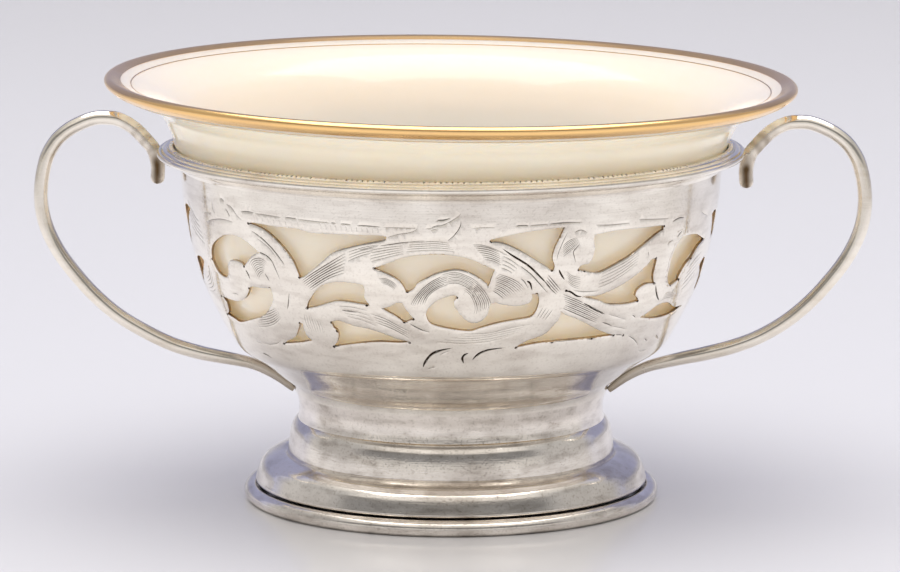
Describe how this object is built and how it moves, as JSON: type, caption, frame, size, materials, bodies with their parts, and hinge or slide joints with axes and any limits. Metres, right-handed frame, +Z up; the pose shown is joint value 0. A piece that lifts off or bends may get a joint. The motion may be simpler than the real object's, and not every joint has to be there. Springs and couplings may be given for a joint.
{
  "type": "bouillon cup",
  "caption": "Two-handled footed cup: a pierced, engraved silver bowl on a spun foot with wire loop handles, holding a loose glazed ivory liner with a gilt flared lip that lifts out.",
  "frame": {"origin": "on the cup's axis, on the surface it stands on, at the middle of the box's base", "axes": "+Z up along the holder's axis; the two handles lie on the X axis; -Y is the front, where the middle of the piercing is"},
  "size_m": [0.1238, 0.1017, 0.0636],
  "materials": {
    "polished_silver": "old hand-polished silver, soft bright, with tarnish in the engraving",
    "worn_silver": "polished silver with a warm film and fine scratches",
    "ivory_china": "clear glaze over ivory china",
    "fired_gold": "burnished gilding fired on the liner's lip"
  },
  "bodies": {
    "holder": {"pierced_bowl": "polished_silver", "rim_moulding": "polished_silver", "left_handle": "polished_silver", "right_handle": "polished_silver", "foot": "worn_silver", "foot_wire": "worn_silver"},
    "liner": {"liner": "ivory_china"}
  },
  "joints": [
    {"name": "liner_lift", "type": "slide", "parent": "holder", "child": "liner", "axis": [0, 0, 1], "range_m": [0, 0.06]}
  ]
}
